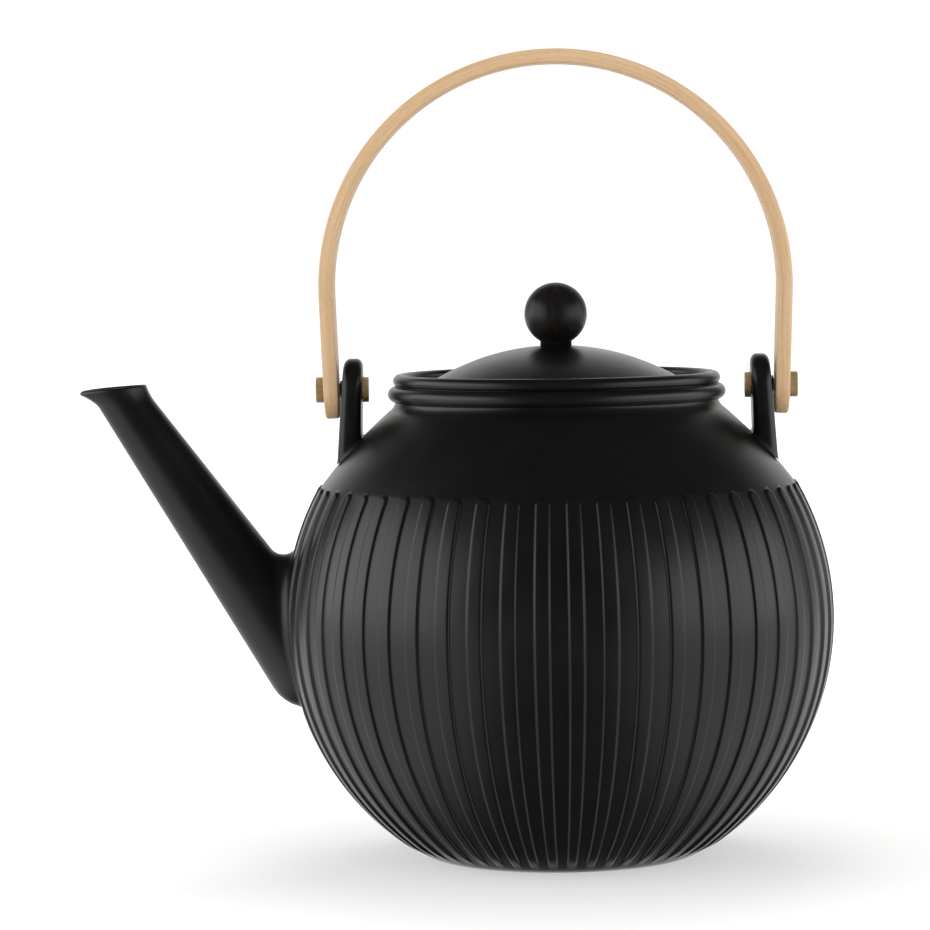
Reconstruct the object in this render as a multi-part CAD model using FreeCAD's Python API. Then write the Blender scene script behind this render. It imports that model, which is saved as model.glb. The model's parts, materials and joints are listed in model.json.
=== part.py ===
import FreeCAD, Part
import math
import os

# A ribbed teapot with a bail handle, in millimetres.  The origin is the middle of the base,
# +Z is up, the spout points along -X and the handle swings about an axis along X.

V = FreeCAD.Vector
ORIGIN = V(0, 0, 0)
UP = V(0, 0, 1)
REARWARD = V(1, 0, 0)
SIDEWAYS = V(0, 1, 0)
FULL_TURN = 360
HALF_TURN = 180

# The belly is a ball, flattened at the base and topped by a shallow shoulder.
BELLY_RADIUS = 80.3
BELLY_Z = 69.85
RIB_HEIGHT = 0.6
SKIN_RADIUS = BELLY_RADIUS - RIB_HEIGHT
WALL = 4.0
CAVITY_RADIUS = SKIN_RADIUS - WALL

FOOT_RADIUS = 36.5
FOOT_INNER_RADIUS = 31.0
FOOT_DEPTH = 2.5
HEEL_Z = 2.0
HEEL_BULGE = 0.3
FLOOR_Z = FOOT_DEPTH + WALL

RIB_COUNT = 52
RIB_ANGLE = 3.15
RIB_FOOT_Z = 4.5
RIB_TOP_Z = 109.3
RIB_ROOT = 1.0

SHOULDER_BULGE = 0.8
NECK_FOOT_RADIUS = 49.0
NECK_FOOT_Z = 131.1
WAIST_RADIUS = 47.3
WAIST_Z = 133.7
NECK_FILLET_BULGE = 0.35
GROOVE_RADIUS = 46.9
GROOVE_Z = 138.25
LOWER_BEAD_BULGE = 2.28
RIM_RADIUS = 46.0
RIM_Z = 141.8
UPPER_BEAD_BULGE = 1.35
RIM_INNER_BULGE = 0.45

# The gallery is the step inside the mouth that carries the infuser and the lid.
GALLERY_RADIUS = 44.4
GALLERY_TOP_Z = 140.2
SEAT_Z = 135.0
THROAT_RADIUS = 39.0
THROAT_FOOT_Z = 131.5
CEILING_INNER_RADIUS = 44.0
CEILING_INNER_Z = 128.3

# The spout tapers along a straight axis that leans forward from the vertical.
SPOUT_LEAN = 34.2
SPOUT_ROOT = V(-74.9, 0, 58.4)
SPOUT_LENGTH = 92.0
SPOUT_ROOT_RADIUS = 12.4
SPOUT_TIP_RADIUS = 7.2
SPOUT_WALL = 2.0
SPOUT_HEEL = 2.2
SPOUT_OVERRUN = 12.0
MOUTH_REAR = V(-121.0, 0, 139.4)
BEAK_TIP = V(-139.8, 0, 138.2)
BEAK_DEPTH = 5.0
BEAK_SHARPNESS = 3
BEAK_SINK = 0.97
LIP = 1.3
OUTLINE_POINTS = 24
WALL_HOLE_REACH = 16.0

# The ears that carry the handle, and the pivot through them.
PIVOT_Z = 137.5
EAR_INNER_X = 56.8
EAR_OUTER_X = 62.7
EAR_WIDTH = 18.2
EAR_EDGE = 2.0
EAR_FOOT_Z = 108.0

HEAD_RADIUS = 3.75
HEAD_LENGTH = 2.7
HEAD_EDGE = 0.3
INNER_HEAD_LENGTH = 1.4
WASHER_THICKNESS = 0.4
WASHER_PLAY = 0.1
BARREL_RADIUS = 2.0
BUSH_RADIUS = 2.6
BUSH_STAND_OFF = 0.55
RUNNING_CLEARANCE = 0.05
SCREW_RADIUS = 1.5
SCREW_LENGTH = 7.0
SLOT_WIDTH = 0.9
SLOT_DEPTH = 0.7

# The handle is a strip of wood bent round a half circle, with legs that lean in.
BOW_RADIUS = 68.9
BOW_Z = 167.0
BOW_THICKNESS = 4.2
BOW_WIDTH = 17.0
BOW_LEAN = 2.0
BOW_EDGE = 0.9
SPOT_FACE_RADIUS = 4.0
SPOT_FACE_X = 67.7
BARREL_END_X = 67.1

# The infuser hangs in the throat, and the lid lies on the infuser's flange.
FLANGE_RADIUS = 44.0
FLANGE_THICKNESS = 0.8
BASKET_RADIUS = 36.0
BASKET_WALL = 0.8
BASKET_FLOOR_Z = 77.0
BASKET_HOOP = 7.0
MESH_THICKNESS = 0.3
MESH_MARGIN = 2.0
WINDOW_COUNT = 8
WINDOW_ANGLE = 36.0

LID_SEAT_Z = SEAT_Z + FLANGE_THICKNESS
LID_RADIUS = 43.3
LID_FLANGE = 2.8
LID_EDGE = 0.5
DOME_RADIUS = 70.0
DOME_HEIGHT = 14.0
LID_WALL = 3.5
PLUG_DEPTH = 7.8
PLUG_WALL = 3.5
SEAL_GAP = 0.3
SEAL_DEPTH = 1.2
SEAL_HEIGHT = 2.4
SEAL_DROP = 3.8

KNOB_RADIUS = 9.15
KNOB_Z = 158.9
KNOB_NECK_RADIUS = 4.6
KNOB_SCREW_RADIUS = 1.6
KNOB_SCREW_TOP_Z = 157.5
KNOB_SCREW_HEAD_RADIUS = 3.4
KNOB_SCREW_HEAD_LENGTH = 2.2
LID_HOLE_RADIUS = 2.2
KNOB_WASHER_RADIUS = 5.0
KNOB_WASHER_THICKNESS = 0.8


def at(radius, z):
    """A point of an outline: radius from the upright axis, z above the table."""
    return V(radius, 0, z)


def belly_point(radius, z):
    """The point at height z on a ball of the given radius about the belly's centre."""
    return at(math.sqrt(radius ** 2 - (z - BELLY_Z) ** 2), z)


def arc(start, end, bulge):
    """An arc whose middle stands off its chord, to the right of the way it goes."""
    way = end - start
    right = V(way.z, 0, -way.x).normalize()
    middle = (start + end) * 0.5 + right * bulge
    return Part.Arc(start, middle, end).toShape()


def belly_arc(radius, start, end):
    """The arc of the belly's circle from start to end, by way of its widest point."""
    return Part.Arc(start, at(radius, BELLY_Z), end).toShape()


def dome_point(inset, r):
    """The point at the radius r on the lid's domed top, or on a dome the inset below it."""
    low = LID_SEAT_Z + DOME_HEIGHT - DOME_RADIUS
    return at(r, low + math.sqrt((DOME_RADIUS - inset) ** 2 - r ** 2))


def dome_arc(inset, start_radius, end_radius):
    """The dome's arc between two radii."""
    middle_radius = (start_radius + end_radius) / 2
    return Part.Arc(*[dome_point(inset, r) for r in (start_radius, middle_radius, end_radius)]).toShape()


def joined(*points):
    """Straight edges through the points in turn."""
    return [Part.makeLine(a, b) for a, b in zip(points, points[1:])]


def turned(edges, angle=FULL_TURN):
    """The solid swept by a closed outline as it goes round the upright axis."""
    face = Part.Face(Part.Wire(Part.__sortEdges__(edges)))
    return outward(face.revolve(ORIGIN, UP, angle))


def outward(solid):
    """The same solid with its faces turned outwards."""
    if solid.Volume < 0:
        solid.reverse()
    return solid


def ring(inner, outer, low, high):
    """A plain ring about the upright axis."""
    return turned(joined(at(inner, low), at(outer, low), at(outer, high), at(inner, high), at(inner, low)))


def pivot_rod(radius, start_x, end_x):
    """A cylinder along the handle's pivot axis, on the rear side."""
    return Part.makeCylinder(radius, end_x - start_x, V(start_x, 0, PIVOT_Z), REARWARD)


# ---------------------------------------------------------------- pot

def outer_wall():
    """The pot's outer outline without its ribs, from the foot up to the top of the rim."""
    foot = at(FOOT_RADIUS, 0)
    heel = belly_point(SKIN_RADIUS, HEEL_Z)
    rib_top = belly_point(SKIN_RADIUS, RIB_TOP_Z)
    neck_foot = at(NECK_FOOT_RADIUS, NECK_FOOT_Z)
    waist = at(WAIST_RADIUS, WAIST_Z)
    groove = at(GROOVE_RADIUS, GROOVE_Z)
    rim = at(RIM_RADIUS, RIM_Z)
    return [
        arc(foot, heel, HEEL_BULGE),
        belly_arc(SKIN_RADIUS, heel, rib_top),
        arc(rib_top, neck_foot, SHOULDER_BULGE),
        arc(neck_foot, waist, -NECK_FILLET_BULGE),
        arc(waist, groove, LOWER_BEAD_BULGE),
        arc(groove, rim, UPPER_BEAD_BULGE),
    ]


def envelope():
    """The pot's whole outer form, filled in."""
    rim = at(RIM_RADIUS, RIM_Z)
    return turned(outer_wall() + joined(rim, at(0, RIM_Z), ORIGIN, at(FOOT_RADIUS, 0)))


def inner_wall():
    """The inner outline, from the rim down through the gallery to the floor and the foot ring."""
    rim = at(RIM_RADIUS, RIM_Z)
    gallery_top = at(GALLERY_RADIUS, GALLERY_TOP_Z)
    ceiling = at(CEILING_INNER_RADIUS, CEILING_INNER_Z)
    ceiling_foot = belly_point(CAVITY_RADIUS, RIB_TOP_Z)
    floor_edge = belly_point(CAVITY_RADIUS, FLOOR_Z)
    throat = joined(
        gallery_top,
        at(GALLERY_RADIUS, SEAT_Z),
        at(THROAT_RADIUS, SEAT_Z),
        at(THROAT_RADIUS, THROAT_FOOT_Z),
        ceiling,
    )
    base = joined(
        floor_edge,
        at(0, FLOOR_Z),
        at(0, FOOT_DEPTH),
        at(FOOT_INNER_RADIUS, FOOT_DEPTH),
        at(FOOT_INNER_RADIUS, 0),
        at(FOOT_RADIUS, 0),
    )
    ceiling_arc = arc(ceiling, ceiling_foot, -SHOULDER_BULGE)
    return [arc(rim, gallery_top, RIM_INNER_BULGE)] + throat + [
        ceiling_arc,
        belly_arc(CAVITY_RADIUS, ceiling_foot, floor_edge),
    ] + base


def ribs():
    """Raised strips down the belly, evenly spaced, with a gap facing straight ahead."""
    pitch = FULL_TURN / RIB_COUNT
    crest = [belly_point(BELLY_RADIUS, z) for z in (RIB_FOOT_Z, RIB_TOP_Z)]
    root = [belly_point(SKIN_RADIUS - RIB_ROOT, z) for z in (RIB_FOOT_Z, RIB_TOP_Z)]
    section = [
        belly_arc(BELLY_RADIUS, crest[0], crest[1]),
        belly_arc(SKIN_RADIUS - RIB_ROOT, root[0], root[1]),
    ] + joined(crest[0], root[0]) + joined(crest[1], root[1])
    rib = turned(section, RIB_ANGLE)
    starts = [(number + 0.5) * pitch - RIB_ANGLE / 2 for number in range(RIB_COUNT)]
    return [rib.rotated(ORIGIN, UP, start) for start in starts]


def pot_body(spout_form, spout_bore):
    """The belly, neck and gallery in one thrown shell, open to the spout."""
    shell = turned(outer_wall() + inner_wall())
    return shell.multiFuse(ribs()).cut([spout_form, spout_bore])


# ---------------------------------------------------------------- spout

def spout_way():
    """The direction of the spout's axis, from the root to the mouth."""
    lean = math.radians(SPOUT_LEAN)
    return V(-math.sin(lean), 0, math.cos(lean))


def mouth_outline(inset, depth, beak):
    """The closed outline of the mouth, parallel to it at a depth, drawn out into the beak."""
    ahead = (BEAK_TIP - MOUTH_REAR).normalize()
    upright = V(ahead.z, 0, -ahead.x)
    way = spout_way()
    slant = way.dot(upright)
    half_length = SPOUT_TIP_RADIUS / slant
    centre = MOUTH_REAR + ahead * half_length - way * (depth / slant)
    reach = (BEAK_TIP - MOUTH_REAR).Length - 2 * half_length
    points = []
    for number in range(OUTLINE_POINTS):
        turn = 2 * math.pi * number / OUTLINE_POINTS
        pull = beak * reach * max(0, math.cos(turn)) ** BEAK_SHARPNESS
        forward = (half_length - inset) * math.cos(turn) + pull
        points.append(centre + ahead * forward + SIDEWAYS * ((SPOUT_TIP_RADIUS - inset) * math.sin(turn)))
    curve = Part.BSplineCurve()
    curve.interpolate(points, PeriodicFlag=True)
    return Part.Wire([curve.toShape()])


def above_mouth():
    """Everything on the upper side of the plane of the mouth."""
    ahead = (BEAK_TIP - MOUTH_REAR).normalize()
    side = SPOUT_LENGTH
    corner = MOUTH_REAR - ahead * (side / 2) + SIDEWAYS * (side / 2)
    slab = Part.makePlane(side, side, corner, V(ahead.z, 0, -ahead.x), ahead)
    return slab.extrude(V(ahead.z, 0, -ahead.x) * side)


def spout_cone(inset, heel):
    """A round taper along the spout's axis, run past the mouth and back into the belly."""
    way = spout_way()
    slope = (SPOUT_TIP_RADIUS - SPOUT_ROOT_RADIUS) / SPOUT_LENGTH
    low_radius = SPOUT_ROOT_RADIUS - slope * heel - inset
    high_radius = SPOUT_TIP_RADIUS + slope * SPOUT_OVERRUN - inset
    length = SPOUT_LENGTH + SPOUT_OVERRUN + heel
    return Part.makeCone(low_radius, high_radius, length, SPOUT_ROOT - way * heel, way)


def beak(inset, reach):
    """The pouring lip, which swells from just inside the taper to the full outline."""
    deep = mouth_outline(inset + SPOUT_TIP_RADIUS * (1 - BEAK_SINK), BEAK_DEPTH, 0)
    return outward(Part.makeLoft([deep, mouth_outline(inset, 0, reach)], True, True))


def spout_form():
    """The spout's outer form, filled in: a taper with a rounded heel and a drawn-out lip."""
    slope = (SPOUT_ROOT_RADIUS - SPOUT_TIP_RADIUS) / SPOUT_LENGTH
    heel_radius = SPOUT_ROOT_RADIUS + slope * SPOUT_HEEL
    heel = Part.makeSphere(heel_radius, SPOUT_ROOT - spout_way() * SPOUT_HEEL)
    taper = spout_cone(0, SPOUT_HEEL).cut(above_mouth())
    return taper.multiFuse([heel, beak(0, 1)]).removeSplitter().cut(envelope())


def spout_bore():
    """The way through the spout, from the cavity out to the lip."""
    return spout_cone(SPOUT_WALL, WALL_HOLE_REACH).fuse(beak(LIP, 1))


# ---------------------------------------------------------------- ears and pivots

def ear(pot_form):
    """An upright ear with a rounded top, luted to the shoulder and bored for its bush."""
    thickness = EAR_OUTER_X - EAR_INNER_X
    slab = Part.makeBox(thickness, EAR_WIDTH, PIVOT_Z - EAR_FOOT_Z,
                        V(EAR_INNER_X, -EAR_WIDTH / 2, EAR_FOOT_Z))
    top = pivot_rod(EAR_WIDTH / 2, EAR_INNER_X, EAR_OUTER_X)
    blank = slab.fuse(top).removeSplitter()
    rims = [edge for edge in blank.Edges if edge.BoundBox.ZMax > EAR_FOOT_Z + 1 and edge.BoundBox.XLength < 1]
    rounded = blank.makeFillet(EAR_EDGE, rims)
    return rounded.cut([pot_form, pivot_rod(BUSH_RADIUS, EAR_INNER_X, EAR_OUTER_X)])


def bush():
    """The sleeve pressed into the ear, standing out as a spacer for the handle."""
    sleeve = pivot_rod(BUSH_RADIUS, EAR_INNER_X, EAR_OUTER_X + BUSH_STAND_OFF)
    bore = pivot_rod(BARREL_RADIUS + RUNNING_CLEARANCE, EAR_INNER_X, EAR_OUTER_X + BUSH_STAND_OFF)
    return sleeve.cut(bore)


def washer():
    """The thin washer between the post's head and the ear."""
    end_x = EAR_INNER_X - WASHER_PLAY
    start_x = end_x - WASHER_THICKNESS
    return pivot_rod(HEAD_RADIUS, start_x, end_x).cut(pivot_rod(BARREL_RADIUS, start_x, end_x))


def post():
    """The barrel that the handle turns on, with a head inside the ear and a thread outside."""
    head_end_x = EAR_INNER_X - WASHER_PLAY - WASHER_THICKNESS
    head = pivot_rod(HEAD_RADIUS, head_end_x - INNER_HEAD_LENGTH, head_end_x)
    rounded = head.makeFillet(HEAD_EDGE, [edge_at_x(head, head_end_x - INNER_HEAD_LENGTH)])
    barrel = pivot_rod(BARREL_RADIUS, head_end_x, BARREL_END_X)
    thread = pivot_rod(SCREW_RADIUS, SPOT_FACE_X - SCREW_LENGTH, BARREL_END_X)
    return rounded.fuse(barrel).cut(thread)


def pivot_screw():
    """The slotted screw that closes the post from outside the handle."""
    end_x = SPOT_FACE_X + HEAD_LENGTH
    head = pivot_rod(HEAD_RADIUS, SPOT_FACE_X, end_x)
    rounded = head.makeFillet(HEAD_EDGE, [edge_at_x(head, end_x)])
    shank = pivot_rod(SCREW_RADIUS, SPOT_FACE_X - SCREW_LENGTH, SPOT_FACE_X)
    slot = Part.makeBox(SLOT_DEPTH, SLOT_WIDTH, 2 * HEAD_RADIUS,
                        V(end_x - SLOT_DEPTH, -SLOT_WIDTH / 2, PIVOT_Z - HEAD_RADIUS))
    return rounded.fuse(shank).cut(slot)


def edge_at_x(solid, x):
    """The round edge of a rod that lies in the plane of the given x."""
    flat = 0.01
    return [e for e in solid.Edges if e.BoundBox.XLength < flat and abs(e.BoundBox.Center.x - x) < flat][0]


# ---------------------------------------------------------------- handle

def bow_side(radius):
    """One face of the bent strip: a half circle and the straight legs that leave it."""
    lean = math.radians(BOW_LEAN)
    foot_z = PIVOT_Z - BOW_WIDTH / 2
    knee = V(radius * math.cos(lean), 0, BOW_Z - radius * math.sin(lean))
    foot = V(knee.x - (knee.z - foot_z) * math.tan(lean), 0, foot_z)
    mirrored = [V(-p.x, 0, p.z) for p in (knee, foot)]
    arch = Part.Arc(knee, V(0, 0, BOW_Z + radius), mirrored[0]).toShape()
    return [Part.makeLine(foot, knee), arch, Part.makeLine(mirrored[0], mirrored[1])], foot, mirrored[1]


def handle_bow():
    """The bent strip with rounded ends and softened edges, bored for its two posts."""
    outer, outer_foot, outer_far_foot = bow_side(BOW_RADIUS)
    inner, inner_foot, inner_far_foot = bow_side(BOW_RADIUS - BOW_THICKNESS)
    ends = joined(outer_foot, inner_foot) + joined(outer_far_foot, inner_far_foot)
    face = Part.Face(Part.Wire(Part.__sortEdges__(outer + inner + ends)))
    face.translate(V(0, -BOW_WIDTH / 2, 0))
    strip = outward(face.extrude(SIDEWAYS * BOW_WIDTH))
    span = 4 * BOW_RADIUS
    top = Part.makeBox(span, BOW_WIDTH, span, V(-span / 2, -BOW_WIDTH / 2, PIVOT_Z))
    round_ends = Part.makeCylinder(BOW_WIDTH / 2, span, V(-span / 2, 0, PIVOT_Z), REARWARD)
    blank = strip.common(top.fuse(round_ends).removeSplitter())
    long_edges = [e for e in blank.Edges if e.BoundBox.ZLength > 1]
    soft = blank.makeFillet(BOW_EDGE, long_edges)
    bores = []
    for turn in (0, HALF_TURN):
        bores.append(pivot_rod(BARREL_RADIUS, 0, span / 2).rotated(ORIGIN, UP, turn))
        bores.append(pivot_rod(SPOT_FACE_RADIUS, SPOT_FACE_X, span / 2).rotated(ORIGIN, UP, turn))
    return soft.cut(bores)


# ---------------------------------------------------------------- infuser

def infuser_rim():
    """The flange that hangs on the gallery's seat."""
    return ring(BASKET_RADIUS - BASKET_WALL, FLANGE_RADIUS, SEAT_Z, LID_SEAT_Z)


def infuser_basket():
    """The basket's wall, a thin tube with tall windows between its two hoops."""
    tube = ring(BASKET_RADIUS - BASKET_WALL, BASKET_RADIUS, BASKET_FLOOR_Z, SEAT_Z)
    low = BASKET_FLOOR_Z + BASKET_HOOP
    high = SEAT_Z - 2 * BASKET_HOOP
    inner = BASKET_RADIUS - 2 * BASKET_WALL
    outer = BASKET_RADIUS + BASKET_WALL
    section = joined(at(inner, low), at(outer, low), at(outer, high), at(inner, high), at(inner, low))
    window = turned(section, WINDOW_ANGLE)
    return tube.cut([window.rotated(ORIGIN, UP, FULL_TURN * number / WINDOW_COUNT)
                     for number in range(WINDOW_COUNT)])


def infuser_mesh():
    """The fine mesh sleeve round the basket, covering its windows."""
    low = BASKET_FLOOR_Z + BASKET_HOOP - MESH_MARGIN
    high = SEAT_Z - 2 * BASKET_HOOP + MESH_MARGIN
    return ring(BASKET_RADIUS, BASKET_RADIUS + MESH_THICKNESS, low, high)


def infuser_floor():
    """The round mesh floor set in the basket's lower hoop."""
    return Part.makeCylinder(BASKET_RADIUS - BASKET_WALL, BASKET_WALL, at(0, BASKET_FLOOR_Z), UP)


# ---------------------------------------------------------------- lid

def lid():
    """The domed lid with its flat flange, and a plug below with a groove for the seal."""
    flange_z = LID_SEAT_Z + LID_FLANGE
    dome_foot = math.sqrt(DOME_RADIUS ** 2 - (DOME_RADIUS - DOME_HEIGHT + LID_FLANGE) ** 2)
    plug_radius = BASKET_RADIUS - BASKET_WALL - SEAL_GAP
    plug_inner = plug_radius - PLUG_WALL
    plug_z = LID_SEAT_Z - PLUG_DEPTH
    groove_top = LID_SEAT_Z - SEAL_DROP
    groove_low = groove_top - SEAL_HEIGHT
    groove_radius = plug_radius - SEAL_DEPTH
    neck = plug_radius - SEAL_GAP
    edges = [
        dome_arc(0, LID_HOLE_RADIUS, dome_foot),
        dome_arc(LID_WALL, LID_HOLE_RADIUS, plug_inner),
    ]
    edges += joined(
        dome_point(0, dome_foot),
        at(LID_RADIUS - LID_EDGE, flange_z),
        at(LID_RADIUS, flange_z - LID_EDGE),
        at(LID_RADIUS, LID_SEAT_Z),
        at(neck, LID_SEAT_Z),
        at(neck, groove_top),
        at(groove_radius, groove_top),
        at(groove_radius, groove_low),
        at(neck, groove_low),
        at(neck, plug_z),
        at(plug_inner, plug_z),
        dome_point(LID_WALL, plug_inner),
    )
    edges += joined(dome_point(0, LID_HOLE_RADIUS), dome_point(LID_WALL, LID_HOLE_RADIUS))
    return turned(edges)


def lid_seal():
    """The soft ring in the plug's groove, just clear of the infuser's wall."""
    plug_radius = BASKET_RADIUS - BASKET_WALL - SEAL_GAP
    top = LID_SEAT_Z - SEAL_DROP
    return ring(plug_radius - SEAL_DEPTH, plug_radius, top - SEAL_HEIGHT, top)


def lid_underside():
    """The height of the flat seat for the washer, under the middle of the lid."""
    return dome_point(LID_WALL, KNOB_WASHER_RADIUS).z


def knob_washer():
    """The washer under the lid that spreads the screw's pull."""
    top = lid_underside()
    return ring(LID_HOLE_RADIUS, KNOB_WASHER_RADIUS, top - KNOB_WASHER_THICKNESS, top)


def knob_screw():
    """The screw that comes up through the lid into the knob."""
    head_top = lid_underside() - KNOB_WASHER_THICKNESS
    head = Part.makeCylinder(KNOB_SCREW_HEAD_RADIUS, KNOB_SCREW_HEAD_LENGTH,
                             at(0, head_top - KNOB_SCREW_HEAD_LENGTH), UP)
    shank = Part.makeCylinder(KNOB_SCREW_RADIUS, KNOB_SCREW_TOP_Z - head_top, at(0, head_top), UP)
    slot = Part.makeBox(2 * KNOB_SCREW_HEAD_RADIUS, SLOT_WIDTH, SLOT_DEPTH,
                        V(-KNOB_SCREW_HEAD_RADIUS, -SLOT_WIDTH / 2, head_top - KNOB_SCREW_HEAD_LENGTH))
    return head.fuse(shank).cut(slot)


def lid_knob(lid_form):
    """The turned ball on its short neck, with a blind threaded hole."""
    crown = LID_SEAT_Z + DOME_HEIGHT - LID_WALL
    ball = Part.makeSphere(KNOB_RADIUS, at(0, KNOB_Z))
    neck = Part.makeCylinder(KNOB_NECK_RADIUS, KNOB_Z - crown, at(0, crown), UP)
    thread = Part.makeCylinder(KNOB_SCREW_RADIUS, KNOB_SCREW_TOP_Z - crown, at(0, crown), UP)
    return ball.fuse(neck).cut([thread, lid_form])


# ---------------------------------------------------------------- saving

def save(name, shape):
    """Write one sub-part, which has to be a single closed solid."""
    solids = shape.Solids
    if len(solids) != 1 or not solids[0].isValid() or not solids[0].isClosed():
        raise ValueError(f"{name} is not one sound solid: {len(solids)} solids")
    solids[0].exportStep(f"parts/{name}.step")
    print(name, round(solids[0].Volume), "cubic mm", len(solids[0].Faces), "faces")


def save_pair(name, shape):
    """Write a rear sub-part, and its twin turned half way round for the front."""
    save("rear_" + name, shape)
    save("front_" + name, shape.rotated(ORIGIN, UP, HALF_TURN))


def main():
    os.makedirs("parts", exist_ok=True)
    form = spout_form()
    bore = spout_bore()
    save("pot_body", pot_body(form, bore))
    save("spout", form.cut(bore))
    save_pair("ear", ear(envelope()))
    save_pair("bush", bush())
    save_pair("post", post())
    save_pair("screw", pivot_screw())
    save_pair("washer", washer())
    save("handle_bow", handle_bow())
    save("infuser_rim", infuser_rim())
    save("infuser_basket", infuser_basket())
    save("infuser_mesh", infuser_mesh())
    save("infuser_floor", infuser_floor())
    lid_form = lid()
    save("lid", lid_form)
    save("lid_seal", lid_seal())
    save("knob_washer", knob_washer())
    save("knob_screw", knob_screw())
    save("lid_knob", lid_knob(lid_form))


main()
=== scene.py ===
import json
import math

import bmesh
import bpy
import numpy as np
from mathutils import Matrix, Vector


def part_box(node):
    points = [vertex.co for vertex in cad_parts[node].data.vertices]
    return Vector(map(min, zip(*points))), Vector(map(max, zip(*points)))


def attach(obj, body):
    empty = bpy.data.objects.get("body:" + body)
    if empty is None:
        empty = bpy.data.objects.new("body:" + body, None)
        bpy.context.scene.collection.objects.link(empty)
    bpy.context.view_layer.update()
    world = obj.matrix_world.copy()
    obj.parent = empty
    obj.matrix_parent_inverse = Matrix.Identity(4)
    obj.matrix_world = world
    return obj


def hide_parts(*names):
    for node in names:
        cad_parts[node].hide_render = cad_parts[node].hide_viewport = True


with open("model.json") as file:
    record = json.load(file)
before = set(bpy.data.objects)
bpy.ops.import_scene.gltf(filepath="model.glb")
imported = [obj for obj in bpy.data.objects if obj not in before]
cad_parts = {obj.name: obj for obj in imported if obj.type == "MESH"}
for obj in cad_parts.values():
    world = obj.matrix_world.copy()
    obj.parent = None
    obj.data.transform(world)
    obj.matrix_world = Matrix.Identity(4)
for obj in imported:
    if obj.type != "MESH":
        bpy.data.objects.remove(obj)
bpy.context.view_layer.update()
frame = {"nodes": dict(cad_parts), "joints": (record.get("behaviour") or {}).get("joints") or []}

# ---------------------------------------------------------------- sizes, in metres
# Outlines are (radius from the upright axis, height above the table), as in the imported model.
# A bulge is how far an arc stands off from the straight line between its ends.
MM = 0.001
TURN = 2 * math.pi
PIVOT_Z = next(j["pos_m"][2] for j in frame["joints"] if j["name"] == "handle_swing")
RIM_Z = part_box("pot_body")[1][2]

# The belly is a ball with a flat foot.
BELLY_RADIUS = 80.3 * MM
BELLY_Z = 69.85 * MM
POT_WALL = 4.0 * MM
RIB_HEIGHT = 0.6 * MM
SKIN_RADIUS = BELLY_RADIUS - RIB_HEIGHT
CAVITY_RADIUS = SKIN_RADIUS - POT_WALL
FLOOR_Z = 6.5 * MM
FOOT_RADIUS = 36.5 * MM
FOOT_INNER_RADIUS = 31.0 * MM
FOOT_DEPTH = 2.5 * MM
FOOT_CORNER = 1.0 * MM
FOOT_CORNER_BULGE = -0.29 * MM
FOOT_EDGE = 0.4 * MM
FOOT_EDGE_BULGE = 0.1 * MM
HEEL_Z = 2.0 * MM
HEEL_BULGE = 0.3 * MM

RIB_COUNT = 52
RIB_HALF_ANGLE = math.radians(3.15 / 2)
RIB_WALL = 0.5 * MM
RIB_TOP_Z = 109.3 * MM
RIB_FADE = (1.5 * MM, 6.0 * MM)         # heights between which a rib rises from the foot
RIB_SPOUT_GAP = (3.2 * MM, 5.5 * MM)    # distances from the spout between which it rises

# The shoulder, and the neck with its two beads.
NECK_FOOT = (49.0 * MM, 131.1 * MM)
WAIST = (47.3 * MM, 133.7 * MM)
GROOVE = (46.9 * MM, 138.25 * MM)
RIM = (46.0 * MM, RIM_Z)
SHOULDER_BULGE = 0.8 * MM
WAIST_BULGE = -0.35 * MM
LOWER_BEAD_BULGE = 2.28 * MM
UPPER_BEAD_BULGE = 1.35 * MM
RIM_BULGE = 0.45 * MM
RIM_INNER_DROP = 1.6 * MM
GALLERY_RADIUS = 44.4 * MM
SEAT_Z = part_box("infuser_rim")[0][2]
THROAT_RADIUS = 39.0 * MM
THROAT_FOOT_Z = 131.5 * MM
CEILING = (44.0 * MM, 128.3 * MM)
CEILING_BULGE = -0.8 * MM

SPOUT_LEAN = math.radians(34.2)
SPOUT_ROOT = np.array([-74.9, 0.0, 58.4]) * MM
SPOUT_LENGTH = 92.0 * MM
SPOUT_OVERRUN = 1.15                    # how far its side is worked out, in lengths
SPOUT_ROOT_RADIUS = 12.4 * MM
SPOUT_TIP_RADIUS = 7.2 * MM
SPOUT_HEEL = 2.2 * MM
SPOUT_WALL = 1.5 * MM
SPOUT_SINK = 2.5 * MM
MOUTH_REAR = np.array([-121.8, 0.0, 138.8]) * MM
MOUTH_SLOPE = math.radians(3.6)
MOUTH_FLARE = 0.9 * MM
FLARE_REACH = 5.5 * MM
BEAK_REACH = 2.0 * MM
BEAK_DROOP = 0.3 * MM
BEAK_NARROWING = 5                      # a higher power makes the beak narrower
BEAK_ONSET = 1.4                        # a higher power makes it start nearer to the mouth
LIP_RISE = 0.7 * MM
FILLET_MIDDLE = 3.3 * MM
FILLET_SWING = 1.3 * MM
SKIRT = 0.3 * MM

EAR_INNER_X = 56.8 * MM
EAR_OUTER_X = 62.7 * MM
EAR_THICKNESS = EAR_OUTER_X - EAR_INNER_X
EAR_MIDDLE_X = (EAR_INNER_X + EAR_OUTER_X) / 2
EAR_HALF_WIDTH = 9.1 * MM
EAR_EDGE = 2.2 * MM
EAR_LEAN = 0.05                         # per unit of height
EAR_SPREAD = 0.04                       # gain in thickness, per unit of height
EAR_SINK = 0.8 * MM
EAR_FILLET = 1.6 * MM
EAR_FLARE = (2.5, 0.2)                  # its direction: through the ear against across it

BOW_THICKNESS = 4.2 * MM
BOW_EDGE = 0.9 * MM
BOW_LEAN = math.radians(2.0)
BOW_HALF_WIDTH = (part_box("handle_bow")[1][1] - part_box("handle_bow")[0][1]) / 2
BOW_RADIUS = 68.9 * MM
BOW_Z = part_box("handle_bow")[1][2] - BOW_RADIUS

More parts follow.
